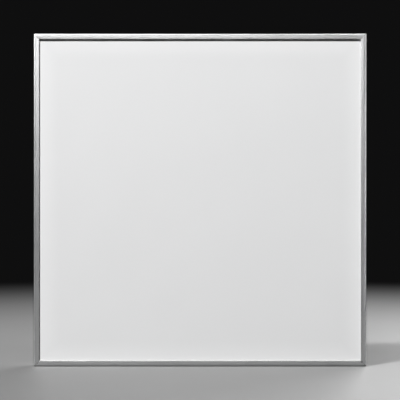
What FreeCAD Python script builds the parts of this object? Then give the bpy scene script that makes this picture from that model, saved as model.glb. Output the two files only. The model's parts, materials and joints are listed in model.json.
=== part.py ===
"""Square LED light table for viewing film, standing upright on its lower rail.

Four mitred aluminium rails hold a sandwich: opal diffuser, film, light guide, reflector, foam and back plate.
LED strips line the rails' inner sides and feed light into the light guide's four edges. Behind the back
plate lies the bay for the mains driver and the dimmer board, closed by a screwed cover with rubber feet.
The mains inlet, the rocker switch and the dimmer wheel sit in a window in the right rail.

Millimetres. +X right, +Y towards the back, +Z up. The origin is on the lower rail's underside, mid-width,
half way between the front plane and the rear feet. Two measures are used besides X and Z: u runs inwards
from a rail's outer side face, and v runs backwards from the front plane.
"""

import FreeCAD
import Part

import math
import os

V = FreeCAD.Vector
RIGHT, LEFT, BACK, FRONT, UP = V(1, 0, 0), V(-1, 0, 0), V(0, 1, 0), V(0, -1, 0), V(0, 0, 1)
OVER = 1.0  # how far a cutting tool reaches past the face it cuts

# ---------------------------------------------------------------- overall
SIZE = 600.0  # outer width and height
HALF = SIZE / 2
DEPTH = 40.0  # front plane to the rear feet
FRONT_Y = -DEPTH / 2
RAIL_DEPTH = 36.0  # front plane to the rails' rear edge

# ---------------------------------------------------------------- rail section
WALL = 1.8  # side wall
LIP = 10.0  # width of the rail's face
LIP_REAR = 2.6  # back of the lip, where the diffuser rests
EDGE_R = 3.0  # outer front edge
CROWN_R = 75.0  # gentle crown of the face
LIP_EDGE_R = 0.3
LINE_U, LINE_WIDTH, LINE_DEPTH = 3.3, 0.3, 0.18  # fine line between the rounded edge and the crown
SLOT_REAR = 14.4  # back of the slot that holds the sandwich
WEB = 1.4  # web between the slot and the key chamber
CHAMBER_U = 8.0  # the key chamber reaches from the side wall to here
CHAMBER_V0, CHAMBER_V1 = SLOT_REAR + WEB, 33.2
CHAMBER_WALL = 1.2
FLANGE = 1.6  # rear flange, which takes the cover screws
FLANGE_REAR = CHAMBER_V1 + FLANGE
FLANGE_U = 16.0
MITRE_GAP = 0.1  # each rail stops this short of the mitre plane

# ---------------------------------------------------------------- corner keys
KEY_CLEARANCE = 0.2
KEY_LEG = 42.0
KEY_CORE = (12.0, 26.0, 3.5)  # cored part of a leg: from, to, and the walls left at its sides
GRUB_AT = 32.0  # grub screws, from the corner
GRUB_R, GRUB_LENGTH, GRUB_SOCKET_R, GRUB_SOCKET = 2.0, 4.0, 1.0, 1.2

# ---------------------------------------------------------------- sandwich
DIFFUSER, FILM, GUIDE, REFLECTOR, BACK_PLATE = 3.0, 0.3, 5.0, 0.3, 1.5  # thicknesses
DIFFUSER_EDGE_R = 0.4
DIFFUSER_U, GUIDE_U, PLATE_U = 2.5, 4.0, 2.2  # from the outer faces to each sheet's edge
FILM_V = LIP_REAR + DIFFUSER
GUIDE_V = FILM_V + FILM
REFLECTOR_V = GUIDE_V + GUIDE
FOAM_V = REFLECTOR_V + REFLECTOR
PLATE_V = SLOT_REAR - BACK_PLATE

# ---------------------------------------------------------------- LED strips
STRIP_HALF = 290.0
STRIP_MARGIN = 0.3  # from the diffuser's back and from the back plate
TAPE, STRIP_BOARD = 0.2, 1.0
BOARD_FACE_U = WALL + TAPE + STRIP_BOARD
LEDS, LED_PITCH = 40, 14.4
LED_WIDTH, LED_DEEP, LED_HIGH = 3.5, 2.8, 0.8
JUMPER_R, JUMPER_BEND, JUMPER_V = 0.4, 3.0, (7.0, 9.8)

# ---------------------------------------------------------------- controls in the right rail
CONTROL_V = 24.5  # the line that all three lie on
INLET_Z, SWITCH_Z, WHEEL_Z, FEED_Z = 70.0, 115.0, 160.0, 199.2
WINDOW_Z0, WINDOW_Z1, WINDOW_HALF, WINDOW_R = 52.0, 176.0, 7.7, 2.0
PANEL, PANEL_GAP, PANEL_PAST = 2.0, 0.1, 7.0  # thickness, gap in the chamber, reach past the window
PANEL_SCREW_PAST = 4.0
PANEL_X1 = HALF - WALL  # front of the control panel
PANEL_X0 = PANEL_X1 - PANEL
BOSS_R, BOSS_BORE_R, BOSS = 2.8, 1.25, 2.4
CUT_OUT_GAP = 0.15  # round the inlet's and the switch's bodies
BEZEL_X = HALF - 0.3  # front of the inlet's and the switch's bezels
BEZEL_EDGE_R = 0.4

INLET_BODY = (10.0, 5.75, 18.2)  # half height, half depth, and length behind the bezel
INLET_BEZEL = (12.0, 7.25, 1.5)  # half height, half depth, corner radius
SOCKET_DEEP, SOCKET_LOBE_R, SOCKET_HALF_DEEP = 11.5, 4.3, 3.5
PIN_PITCH, PIN_R, PIN_SET_BACK = 8.6, 1.18, 1.5
TAB = 8.0  # the inlet's and the switch's tabs, behind their bodies

SWITCH_BODY = (9.5, 6.5, 14.2)
SWITCH_BEZEL = (10.5, 7.5, 1.5)
TERMINAL_PITCH = 9.6
PIVOT_X = HALF - 4.6
PIVOT_R = 1.2
ROCKER_TILT = 10.0  # degrees each side of the middle
ROCKER_R = 8.5  # the rocker's ends are arcs about the pivot
ROCKER_RISE = 4.0  # pivot to the dip between the rocker's two faces
ROCKER_HALF_DEEP = 5.45
ROCKER_SKIRT = 1.5  # the end arcs reach this far behind the pivot
ROCKER_GAP, STUB, RUNNING = 0.3, 0.75, 0.05

WHEEL_X = HALF - 9.0
WHEEL_R, WHEEL_V0, WHEEL_V1 = 10.5, 22.5, 26.5
WHEEL_SLOT_HALF = (10.0, 2.4)  # half height and half depth of its slot in the control panel
WHEEL_DISH_R, WHEEL_DISH = 7.5, 0.8
KNURLS, KNURL_R = 36, 0.4
SHAFT_R = 1.5
POT_R, POT_FLOOR, POT_GAP = 4.8, 0.35, 0.4

# ---------------------------------------------------------------- electronics bay
DIMMER_X, DIMMER_Z, DIMMER_V = (246.0, 294.0), (142.0, 178.0), 16.5
CIRCUIT_BOARD = 1.6
DIMMER_BOARD_REAR = DIMMER_V + CIRCUIT_BOARD
DIMMER_SCREWS = ((250.0, 146.0), (250.0, 174.0))
DRIVER_X, DRIVER_Z = (40.0, 230.0), (50.0, 96.0)
DRIVER_DEEP, DRIVER_WALL = 17.0, 1.5
DRIVER_REAR = SLOT_REAR + DRIVER_DEEP
LID_V = DRIVER_REAR - DRIVER_WALL
STANDOFF = 3.0
DRIVER_BOARD_V = SLOT_REAR + DRIVER_WALL + STANDOFF
DRIVER_BOARD_REAR = DRIVER_BOARD_V + CIRCUIT_BOARD
MAINS_ENTRY_Z, OUTPUT_ENTRY_Z = (60.0, 90.0), (66.0, 80.0)
EAR, EAR_HALF = 10.0, 6.0
PLATE_HOLE_R = 1.5
WIRE_R, FEED_R = 1.1, 0.6
LOW_VOLTAGE_V = CONTROL_V - 1.0
LOW_VOLTAGE_Z = (162.0, 158.0)  # the negative and the positive wire's long runs
CLIP_X = (80.0, 150.0, 220.0)
CLIP_HALF, CLIP_PAST, CLIP_COVER = 4.0, 4.5, 3.0  # half width, and reach past the wires in Z and in v
CLIP_CHANNEL = 1.3

# What stands on the two circuit boards: X from and to, height above the board, Z from and to.
DIMMER_PARTS = {
    "transistor": (262.0, 272.0, 4.5, 146.0, 151.0),
    "chip": (262.0, 267.0, 1.6, 158.0, 164.0),
    "supply_plug": (247.0, 255.0, 6.5, 155.0, 165.0),
    "feed_plug": (276.0, 284.0, 6.0, 171.5, 177.5),
}
DRIVER_PARTS = {
    "suppressor": (178.0, 191.0, 7.5, 56.0, 72.0),
    "mains_block": (212.0, 224.0, 8.2, 61.0, 89.0),
    "output_block": (46.0, 56.0, 8.2, 66.0, 80.0),
}
COIL_X, COIL_Z, COIL_R, COIL = 268.0, 171.0, 4.0, 5.0
TRANSFORMER_X, TRANSFORMER_Z = 125.0, 61.0
ELECTROLYTIC_X, ELECTROLYTIC_Z, ELECTROLYTIC_R, ELECTROLYTIC = (92.0, 103.0), 62.0, 3.9, 22.0
CHOKE_X, CHOKE_Z, CHOKE_R, CHOKE_BORE_R, CHOKE = 184.0, 82.0, 6.5, 3.0, 7.0
FUSE_X, FUSE_Z, FUSE_R, FUSE = 168.0, 60.0, 2.0, 16.0

# ---------------------------------------------------------------- back
COVER = 1.0
COVER_V = FLANGE_REAR
COVER_REAR = COVER_V + COVER
COVER_GAP = 0.3  # between the cover's edge and the rails' side walls
COVER_SCREW_U = 12.6
COVER_SCREWS_ALONG = (-262.0, -90.0, 90.0, 262.0)
SCREW_HOLE_R = 1.75
VENTS, VENT_PITCH, VENT_HALF, VENT_R = 15, 9.0, 14.0, 1.5
VENT_ROWS = ((135.0, 73.0), (0.0, 520.0))  # middle of each row of vents: X and Z
FOOT_X, FOOT_Z = 250.0, 50.0  # feet, from the middle and from the lower and upper edges
FOOT_R, FOOT_TIP_R, FOOT_EDGE_R, FOOT_BORE_R, FOOT_FLOOR = 10.0, 9.0, 0.8, 3.4, 1.4
FOOT_HEIGHT = DEPTH - COVER_REAR
NUT_R, NUT = 3.2, 2.4


# ================================================================ helpers
def y_of(v):
    """Y of a depth behind the front plane."""
    return FRONT_Y + v


def box(x0, x1, v0, v1, z0, z1):
    return Part.makeBox(x1 - x0, v1 - v0, z1 - z0, V(x0, y_of(v0), z0))


def box_about(x0, x1, z, half_z, half_v):
    """Box between two X, centred on the controls' line at height z."""
    return box(x0, x1, CONTROL_V - half_v, CONTROL_V + half_v, z - half_z, z + half_z)


def rod(radius, x, v, z, direction, length):
    return Part.makeCylinder(radius, length, V(x, y_of(v), z), direction)


def cone(radius, tip_radius, x, v, z, direction, length):
    return Part.makeCone(radius, tip_radius, length, V(x, y_of(v), z), direction)


def outline(start, steps, place):
    """Closed face. A step is the next point, or an arc as a pair: a point on it and its end."""
    edges = []
    at = start
    for step in steps + [start]:
        if isinstance(step[0], tuple):
            middle, end = step
            edges.append(Part.Arc(place(at), place(middle), place(end)).toShape())
        else:
            end = step
            edges.append(Part.LineSegment(place(at), place(end)).toShape())
        at = end
    return Part.Face(Part.Wire(edges))


def tube(points, radius, bend=0.0):
    """Round wire along straight runs that arcs of radius bend join. A point is X, v and Z."""
    path = [V(x, y_of(v), z) for x, v, z in points]
    edges = []
    at = path[0]
    for before, corner, after in zip(path, path[1:], path[2:]):
        back = (before - corner).normalize()
        on = (after - corner).normalize()
        half_angle = back.getAngle(on) / 2
        setback = bend / math.tan(half_angle)
        inwards = (back + on).normalize() * (bend / math.sin(half_angle) - bend)
        start, end = corner + back * setback, corner + on * setback
        edges.append(Part.LineSegment(at, start).toShape())
        edges.append(Part.Arc(start, corner + inwards, end).toShape())
        at = end
    edges.append(Part.LineSegment(at, path[-1]).toShape())
    section = Part.Wire(Part.makeCircle(radius, path[0], path[1] - path[0]))
    return Part.Wire(edges).makePipeShell([section], True, True)


def round_rear(shape, v, radius):
    """Rounds the edges that lie in the plane at depth v."""
    edges = [e for e in shape.Edges if e.BoundBox.YMin > y_of(v) - 0.01]
    return shape.makeFillet(radius, edges)


def rounded_prism(x0, x1, z, half_z, half_v, radius):
    """Box along X about the controls' line, with rounded corners."""
    block = box_about(x0, x1, z, half_z, half_v)
    along = [e for e in block.Edges if e.BoundBox.XLength > 0.9 * (x1 - x0)]
    return block.makeFillet(radius, along)


def drill(shape, radius, places, v, length):
    """Holes along Y from depth v."""
    for x, z in places:
        shape = shape.cut(rod(radius, x, v, z, BACK, length))
    return shape


def pan_screw(x, z, seat_v, shank_r, head_r, head, length):
    """Cross-head screw driven from the back, with its head's underside at seat_v."""
    edge_r, recess, arm, half_blade = 0.45 * head, 0.55 * head, 0.6 * head_r, 0.3
    screw = round_rear(rod(head_r, x, seat_v, z, BACK, head), seat_v + head, edge_r)
    floor = seat_v + head - recess
    screw = screw.cut(box(x - arm, x + arm, floor, seat_v + head + OVER, z - half_blade, z + half_blade))
    screw = screw.cut(box(x - half_blade, x + half_blade, floor, seat_v + head + OVER, z - arm, z + arm))
    return screw.fuse(rod(shank_r, x, seat_v, z, FRONT, length)).removeSplitter()


def on_board(part, board_rear):
    """Block of a circuit board's list of parts."""
    x0, x1, high, z0, z1 = part
    return box(x0, x1, board_rear, board_rear + high, z0, z1)


def save(name, *solids):
    """Writes one node, which is one solid or a group of them."""
    shape = solids[0] if len(solids) == 1 else Part.makeCompound(list(solids))
    shape.exportStep(f"parts/{name}.step")


SIDES = {"bottom": 0, "left": 90, "top": 180, "right": 270}
CORNERS = {"bottom_left": (-1, -1), "bottom_right": (1, -1), "top_left": (-1, 1), "top_right": (1, 1)}


def on_side(shape, side):
    """Turns a shape that is modelled for the bottom rail to another side."""
    turned = shape.copy()
    turned.rotate(V(0, 0, HALF), BACK, SIDES[side])
    return turned


def at_corner(shape, corner):
    """Mirrors a shape that is modelled for the bottom left corner to another corner."""
    x_sign, z_sign = CORNERS[corner]
    if x_sign > 0:
        shape = shape.mirror(V(0, 0, 0), RIGHT)
    if z_sign > 0:
        shape = shape.mirror(V(0, 0, HALF), UP)
    return shape


# ================================================================ frame
def crown(u):
    """Depth of the crowned face at u."""
    return CROWN_R - math.sqrt(CROWN_R**2 - (u - LINE_U - LINE_WIDTH) ** 2)


def rail_section():
    """Section of a rail, in the plane of its left end."""

    def place(point):
        u, v = point
        return V(-HALF, y_of(v), u)

    line_end = LINE_U + LINE_WIDTH
    crown_end = LIP - LIP_EDGE_R
    crown_middle, lip_front = (line_end + crown_end) / 2, crown(crown_end) + LIP_EDGE_R
    edge_45 = EDGE_R * (1 - math.sqrt(0.5))
    lip_45 = LIP_EDGE_R * math.sqrt(0.5)
    chamber_end = CHAMBER_U + CHAMBER_WALL
    outer = outline(
        (0.0, RAIL_DEPTH),
        [
            (0.0, EDGE_R),
            ((edge_45, edge_45), (EDGE_R, 0.0)),
            (LINE_U, 0.0),
            (LINE_U + LINE_WIDTH / 2, LINE_DEPTH),
            (line_end, 0.0),
            ((crown_middle, crown(crown_middle)), (crown_end, crown(crown_end))),
            ((crown_end + lip_45, lip_front - lip_45), (LIP, lip_front)),
            (LIP, LIP_REAR),
            (WALL, LIP_REAR),
            (WALL, SLOT_REAR),
            (chamber_end, SLOT_REAR),
            (chamber_end, CHAMBER_V1),
            (FLANGE_U, CHAMBER_V1),
            (FLANGE_U, FLANGE_REAR),
            (WALL, FLANGE_REAR),
            (WALL, RAIL_DEPTH),
        ],
        place,
    )
    chamber_corners = [(WALL, CHAMBER_V0), (CHAMBER_U, CHAMBER_V0), (CHAMBER_U, CHAMBER_V1), (WALL, CHAMBER_V1)]
    return outer.cut(outline(chamber_corners[0], chamber_corners[1:], place))


def plain_rail():
    """The bottom rail: mitred, with holes for the grub screws and the cover screws."""
    end = HALF - MITRE_GAP * math.sqrt(2)
    reach = FLANGE_U + OVER
    corners = [(-end, 0), (end, 0), (end - reach, reach), (reach - end, reach), (-end, 0)]
    mitred = Part.Face(Part.makePolygon([V(x, y_of(-OVER), z) for x, z in corners]))
    rail = rail_section().extrude(V(SIZE, 0, 0))
    rail = rail.common(mitred.extrude(V(0, RAIL_DEPTH + 2 * OVER, 0)))
    through = CHAMBER_WALL + 2 * OVER
    for x in (GRUB_AT - HALF, HALF - GRUB_AT):
        rail = rail.cut(rod(GRUB_R + RUNNING, x, CONTROL_V, CHAMBER_U - OVER, UP, through))
    screws = [(x, COVER_SCREW_U) for x in COVER_SCREWS_ALONG]
    return drill(rail, PLATE_HOLE_R, screws, CHAMBER_V1 - OVER, FLANGE + 2 * OVER)


def panel_screw_heights():
    """Z of the two screws that hold the control panel to the rail."""
    return (WINDOW_Z0 - PANEL_SCREW_PAST, WINDOW_Z1 + PANEL_SCREW_PAST)


def right_rail():
    """The right rail also has the controls' window, an opening behind it to the bay, and the LED feed's slot."""
    rail = on_side(plain_rail(), "right")
    middle, half = (WINDOW_Z0 + WINDOW_Z1) / 2, (WINDOW_Z1 - WINDOW_Z0) / 2
    rail = rail.cut(rounded_prism(PANEL_X1 - OVER, HALF + OVER, middle, half, WINDOW_HALF, WINDOW_R))
    inner_x = HALF - CHAMBER_U - CHAMBER_WALL
    inner_past, feed_u0, feed_u1, feed_half = 9.0, 2.2, 5.4, 6.0
    opening_z = (WINDOW_Z0, FEED_Z + inner_past)
    rail = rail.cut(box(inner_x - OVER, inner_x + CHAMBER_WALL + OVER, CHAMBER_V0, CHAMBER_V1, *opening_z))
    feed_x, feed_z = (HALF - feed_u1, HALF - feed_u0), (FEED_Z - feed_half, FEED_Z + feed_half)
    rail = rail.cut(box(*feed_x, SLOT_REAR - OVER, CHAMBER_V0 + OVER, *feed_z))
    hole_r, sink_r, sink = 1.35, 2.4, 1.2
    for z in panel_screw_heights():
        rail = rail.cut(rod(hole_r, HALF + OVER, CONTROL_V, z, LEFT, WALL + 2 * OVER))
        rail = rail.cut(cone(sink_r, hole_r, HALF, CONTROL_V, z, LEFT, sink))
    return rail


def corner_key():
    """Cast L for the bottom left corner. It fills both rails' chambers and is cored to save metal."""
    u0, u1 = WALL + KEY_CLEARANCE, CHAMBER_U - KEY_CLEARANCE
    v0, v1 = CHAMBER_V0 + KEY_CLEARANCE, CHAMBER_V1 - KEY_CLEARANCE
    core0, core1, side = KEY_CORE
    key = box(u0 - HALF, KEY_LEG - HALF, v0, v1, u0, u1)
    key = key.fuse(box(u0 - HALF, u1 - HALF, v0, v1, u0, KEY_LEG)).removeSplitter()
    key = key.cut(box(core0 - HALF, core1 - HALF, v0 + side, v1 - side, u0, u1))
    return key.cut(box(u0 - HALF, u1 - HALF, v0 + side, v1 - side, core0, core1))


def grub_screws():
    """The bottom left corner's two: each goes through a rail's inner wall onto the key."""
    seat = CHAMBER_U - KEY_CLEARANCE
    head = seat + GRUB_LENGTH
    upright = rod(GRUB_R, GRUB_AT - HALF, CONTROL_V, seat, UP, GRUB_LENGTH)
    upright = upright.cut(rod(GRUB_SOCKET_R, GRUB_AT - HALF, CONTROL_V, head - GRUB_SOCKET, UP, GRUB_SOCKET))
    lying = rod(GRUB_R, seat - HALF, CONTROL_V, GRUB_AT, RIGHT, GRUB_LENGTH)
    lying = lying.cut(rod(GRUB_SOCKET_R, head - GRUB_SOCKET - HALF, CONTROL_V, GRUB_AT, RIGHT, GRUB_SOCKET))
    return upright, lying


def build_frame():
    for side in ("bottom", "left", "top"):
        save(f"frame_rail_{side}", on_side(plain_rail(), side))
    save("frame_rail_right", right_rail())
    for corner in CORNERS:
        save(f"corner_key_{corner}", at_corner(corner_key(), corner))
    save("corner_key_screws", *[at_corner(screw, corner) for corner in CORNERS for screw in grub_screws()])


# ================================================================ sandwich and LED strips
def sheet(gap, v0, v1):
    """Square sheet whose edges lie gap inside the rails' outer faces."""
    return box(gap - HALF, HALF - gap, v0, v1, gap, SIZE - gap)


def notched(shape, v0, v1):
    """Cuts the notch in a sheet's right edge that the LED feed wires pass through."""
    notch_u, half = 5.6, 7.0
    return shape.cut(box(HALF - notch_u, HALF + OVER, v0, v1, FEED_Z - half, FEED_Z + half))


def back_plate_holes():
    """X and Z of the holes for the driver's two ears and the dimmer board's two posts."""
    z = sum(DRIVER_Z) / 2
    return ((DRIVER_X[0] - EAR / 2, z), (DRIVER_X[1] + EAR / 2, z)) + DIMMER_SCREWS


def build_sandwich():
    diffuser = sheet(DIFFUSER_U, LIP_REAR, FILM_V)
    save("opal_diffuser", diffuser.makeFillet(DIFFUSER_EDGE_R, diffuser.Edges))
    save("diffusing_film", sheet(GUIDE_U, FILM_V, GUIDE_V))
    save("light_guide", notched(sheet(GUIDE_U, GUIDE_V, REFLECTOR_V), GUIDE_V, REFLECTOR_V))
    save("reflector_sheet", notched(sheet(GUIDE_U, REFLECTOR_V, FOAM_V), REFLECTOR_V, FOAM_V))
    save("foam_pad", notched(sheet(GUIDE_U, FOAM_V, PLATE_V), FOAM_V, PLATE_V))
    plate = notched(sheet(PLATE_U, PLATE_V, SLOT_REAR), PLATE_V, SLOT_REAR)
    save("back_plate", drill(plate, PLATE_HOLE_R, back_plate_holes(), PLATE_V - OVER, BACK_PLATE + 2 * OVER))


def build_strips():
    v0, v1 = FILM_V + STRIP_MARGIN, PLATE_V - STRIP_MARGIN
    tape = box(-STRIP_HALF, STRIP_HALF, v0, v1, WALL, WALL + TAPE)
    board = box(-STRIP_HALF, STRIP_HALF, v0, v1, WALL + TAPE, BOARD_FACE_U)
    middle_v = (GUIDE_V + REFLECTOR_V) / 2
    leds = []
    for i in range(LEDS):
        x = (i - (LEDS - 1) / 2) * LED_PITCH - LED_WIDTH / 2
        v = middle_v - LED_DEEP / 2
        leds.append(box(x, x + LED_WIDTH, v, v + LED_DEEP, BOARD_FACE_U, BOARD_FACE_U + LED_HIGH))
    save("thermal_tapes", *[on_side(tape, side) for side in SIDES])
    for side in SIDES:
        save(f"led_strip_{side}", on_side(board, side))
        save(f"leds_{side}", *[on_side(led, side) for led in leds])

    u = BOARD_FACE_U - STRIP_BOARD / 2
    jumpers = []
    for v in JUMPER_V:
        points = [(-STRIP_HALF, v, u), (u - HALF, v, u), (u - HALF, v, HALF - STRIP_HALF)]
        jumper = tube(points, JUMPER_R, JUMPER_BEND)
        jumpers += [at_corner(jumper, corner) for corner in CORNERS if corner != "bottom_left"]
    save("strip_jumpers", *jumpers)


# ================================================================ controls
def body_block(z, size, grow=0.0):
    """The inlet's or the switch's body behind its bezel, or grown all round as its cut-out."""
    half_z, half_v, length = size
    return box_about(PANEL_X1 - length, PANEL_X1, z, half_z + grow, half_v + grow)


def bezel(z, size):
    """Rounded plate that lies on the control panel."""
    half_z, half_v, radius = size
    plate = rounded_prism(PANEL_X1, BEZEL_X, z, half_z, half_v, radius)
    front = [e for e in plate.Edges if e.BoundBox.XMin > BEZEL_X - 0.01]
    return plate.makeFillet(BEZEL_EDGE_R, front)


def panel_screw(z):
    """Countersunk cross-head screw, driven from the right."""
    head_u, head, head_r, shank_r, length = 0.05, 1.15, 2.3, 1.2, 4.6
    screw = cone(head_r, shank_r, HALF - head_u, CONTROL_V, z, LEFT, head)
    screw = screw.fuse(rod(shank_r, HALF - head_u - head, CONTROL_V, z, LEFT, length))
    arm, half_blade, deep = 1.4, 0.25, 0.5
    screw = screw.cut(box_about(HALF - head_u - deep, HALF, z, arm, half_blade))
    return screw.cut(box_about(HALF - head_u - deep, HALF, z, half_blade, arm)).removeSplitter()


def build_control_panel():
    z0, z1 = WINDOW_Z0 - PANEL_PAST, WINDOW_Z1 + PANEL_PAST
    panel = box(PANEL_X0, PANEL_X1, CHAMBER_V0 + PANEL_GAP, CHAMBER_V1 - PANEL_GAP, z0, z1)
    panel = panel.cut(body_block(INLET_Z, INLET_BODY, grow=CUT_OUT_GAP))
    panel = panel.cut(body_block(SWITCH_Z, SWITCH_BODY, grow=CUT_OUT_GAP))
    panel = panel.cut(box_about(PANEL_X0 - OVER, PANEL_X1 + OVER, WHEEL_Z, *WHEEL_SLOT_HALF))
    for z in panel_screw_heights():
        panel = panel.fuse(rod(BOSS_R, PANEL_X0, CONTROL_V, z, LEFT, BOSS))
        panel = panel.cut(rod(BOSS_BORE_R, PANEL_X1 + OVER, CONTROL_V, z, LEFT, OVER + PANEL + BOSS))
    save("control_panel", panel.removeSplitter())
    save("control_panel_screws", *[panel_screw(z) for z in panel_screw_heights()])


def pin_heights():
    return (INLET_Z - PIN_PITCH / 2, INLET_Z + PIN_PITCH / 2)


def inlet_pin(z):
    """Contact pin with a rounded tip, and the solder tab behind the body."""
    body_rear = PANEL_X1 - INLET_BODY[2]
    tip = BEZEL_X - PIN_SET_BACK
    past, tip_r, half_wide, half_thick = 1.0, 0.6, 1.6, 0.4
    pin = rod(PIN_R, body_rear - past, CONTROL_V, z, RIGHT, tip - body_rear + past)
    pin = pin.makeFillet(tip_r, [e for e in pin.Edges if e.BoundBox.XMin > tip - 0.01])
    return pin.fuse(box_about(body_rear - TAB, body_rear, z, half_wide, half_thick)).removeSplitter()


def build_inlet():
    """Two-pin inlet with a figure-of-eight socket."""
    floor_x = BEZEL_X - SOCKET_DEEP
    socket = box_about(floor_x, BEZEL_X + OVER, INLET_Z, PIN_PITCH / 2, SOCKET_HALF_DEEP)
    for z in pin_heights():
        socket = socket.fuse(rod(SOCKET_LOBE_R, floor_x, CONTROL_V, z, RIGHT, SOCKET_DEEP + OVER))
    housing = body_block(INLET_Z, INLET_BODY).fuse(bezel(INLET_Z, INLET_BEZEL)).removeSplitter()
    housing = housing.cut(socket.removeSplitter())
    pins = [inlet_pin(z) for z in pin_heights()]
    for pin in pins:
        housing = housing.cut(pin)
    save("inlet_housing", housing)
    save("inlet_pins", *pins)


def rocker():
    """Two faces that meet in a shallow V, pressed in at the lower end. Two stubs turn in the housing."""
    slope = math.tan(math.radians(ROCKER_TILT))
    # the faces run from the dip to where they meet the end arcs: (w, ROCKER_RISE + slope w) at ROCKER_R
    a, b, c = 1 + slope**2, 2 * ROCKER_RISE * slope, ROCKER_RISE**2 - ROCKER_R**2
    width = (math.sqrt(b**2 - 4 * a * c) - b) / (2 * a)
    rise = ROCKER_RISE + slope * width
    skirt = math.sqrt(ROCKER_R**2 - ROCKER_SKIRT**2)
    keel, keel_half, edge_r = 4.0, 2.5, 0.5

    def place(point):
        along, out = point
        return V(PIVOT_X + out, y_of(CONTROL_V - ROCKER_HALF_DEEP), SWITCH_Z + along)

    profile = outline(
        (skirt, -ROCKER_SKIRT),
        [
            ((ROCKER_R, 0.0), (width, rise)),
            (0.0, ROCKER_RISE),
            (-width, rise),
            ((-ROCKER_R, 0.0), (-skirt, -ROCKER_SKIRT)),
            (-keel_half, -keel),
            (keel_half, -keel),
        ],
        place,
    )
    paddle = profile.extrude(V(0, 2 * ROCKER_HALF_DEEP, 0))
    front = [e for e in paddle.Edges if e.BoundBox.XMin > PIVOT_X + rise - 0.01]
    paddle = paddle.makeFillet(edge_r, front)
    reach = ROCKER_HALF_DEEP + STUB
    whole = paddle.fuse(rod(PIVOT_R, PIVOT_X, CONTROL_V - reach, SWITCH_Z, BACK, 2 * reach)).removeSplitter()
    whole.rotate(V(PIVOT_X, 0, SWITCH_Z), BACK, ROCKER_TILT)
    return whole


def build_switch():
    cavity_deep, rooted, half_thick, half_wide = 10.7, 3.0, 0.4, 2.4
    housing = body_block(SWITCH_Z, SWITCH_BODY).fuse(bezel(SWITCH_Z, SWITCH_BEZEL)).removeSplitter()
    half_z, half_v = ROCKER_R + ROCKER_GAP, ROCKER_HALF_DEEP + ROCKER_GAP / 2
    housing = housing.cut(box_about(BEZEL_X - cavity_deep, BEZEL_X + OVER, SWITCH_Z, half_z, half_v))
    reach = ROCKER_HALF_DEEP + STUB + RUNNING
    housing = housing.cut(rod(PIVOT_R + RUNNING, PIVOT_X, CONTROL_V - reach, SWITCH_Z, BACK, 2 * reach))
    body_rear = PANEL_X1 - SWITCH_BODY[2]
    terminals = []
    for side in (-1, 1):
        z = SWITCH_Z + side * TERMINAL_PITCH / 2
        terminal = box_about(body_rear - TAB, body_rear + rooted, z, half_thick, half_wide)
        housing = housing.cut(terminal)
        terminals.append(terminal)
    save("switch_housing", housing)
    save("switch_terminals", *terminals)
    save("switch_rocker", rocker())


def build_dimmer():
    """Knurled wheel on the potentiometer's shaft, and the board that carries them."""
    wheel = rod(WHEEL_R, WHEEL_X, WHEEL_V0, WHEEL_Z, BACK, WHEEL_V1 - WHEEL_V0)
    for i in range(KNURLS):
        angle = 2 * math.pi * i / KNURLS
        x, z = WHEEL_X + WHEEL_R * math.cos(angle), WHEEL_Z + WHEEL_R * math.sin(angle)
        wheel = wheel.cut(rod(KNURL_R, x, WHEEL_V0 - OVER, z, BACK, WHEEL_V1 - WHEEL_V0 + 2 * OVER))
    dish_v = WHEEL_V1 - WHEEL_DISH
    wheel = wheel.cut(rod(WHEEL_DISH_R, WHEEL_X, dish_v, WHEEL_Z, BACK, WHEEL_DISH + OVER))
    shaft_v = DIMMER_BOARD_REAR + POT_FLOOR + RUNNING
    wheel = wheel.fuse(rod(SHAFT_R, WHEEL_X, shaft_v, WHEEL_Z, BACK, WHEEL_V0 - shaft_v)).removeSplitter()
    shank_r, shank, tip_gap, head_r, head = 0.95, 2.0, 0.1, 2.2, 1.2
    slot_floor, slot_half, half_blade = 0.7, 1.6, 0.3
    bore = shank + tip_gap
    save("dimmer_wheel", wheel.cut(rod(shank_r + RUNNING, WHEEL_X, dish_v - bore, WHEEL_Z, BACK, bore + OVER)))
    screw = rod(head_r, WHEEL_X, dish_v, WHEEL_Z, BACK, head)
    slot_x, slot_z = (WHEEL_X - slot_half, WHEEL_X + slot_half), (WHEEL_Z - half_blade, WHEEL_Z + half_blade)
    screw = screw.cut(box(*slot_x, dish_v + slot_floor, dish_v + head + OVER, *slot_z))
    screw = screw.fuse(rod(shank_r, WHEEL_X, dish_v, WHEEL_Z, FRONT, shank))
    save("dimmer_wheel_screw", screw.removeSplitter())

    pot = rod(POT_R, WHEEL_X, DIMMER_BOARD_REAR, WHEEL_Z, BACK, WHEEL_V0 - POT_GAP - DIMMER_BOARD_REAR)
    bore = rod(SHAFT_R + RUNNING, WHEEL_X, DIMMER_BOARD_REAR + POT_FLOOR, WHEEL_Z, BACK, WHEEL_V0)
    save("dimmer_potentiometer", pot.cut(bore))

    board = box(*DIMMER_X, DIMMER_V, DIMMER_BOARD_REAR, *DIMMER_Z)
    save("dimmer_board", drill(board, PLATE_HOLE_R, DIMMER_SCREWS, DIMMER_V - OVER, CIRCUIT_BOARD + 2 * OVER))
    post_r, post = 2.6, DIMMER_V - SLOT_REAR
    posts = [rod(post_r, x, SLOT_REAR, z, BACK, post) for x, z in DIMMER_SCREWS]
    posts = [drill(solid, PLATE_HOLE_R, DIMMER_SCREWS, SLOT_REAR, post + OVER) for solid in posts]
    save("dimmer_board_posts", *posts)
    blocks = {name: on_board(part, DIMMER_BOARD_REAR) for name, part in DIMMER_PARTS.items()}
    coil = rod(COIL_R, COIL_X, DIMMER_BOARD_REAR, COIL_Z, BACK, COIL)
    save("dimmer_components", blocks["transistor"], blocks["chip"], coil)
    save("dimmer_connectors", blocks["supply_plug"], blocks["feed_plug"])


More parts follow.
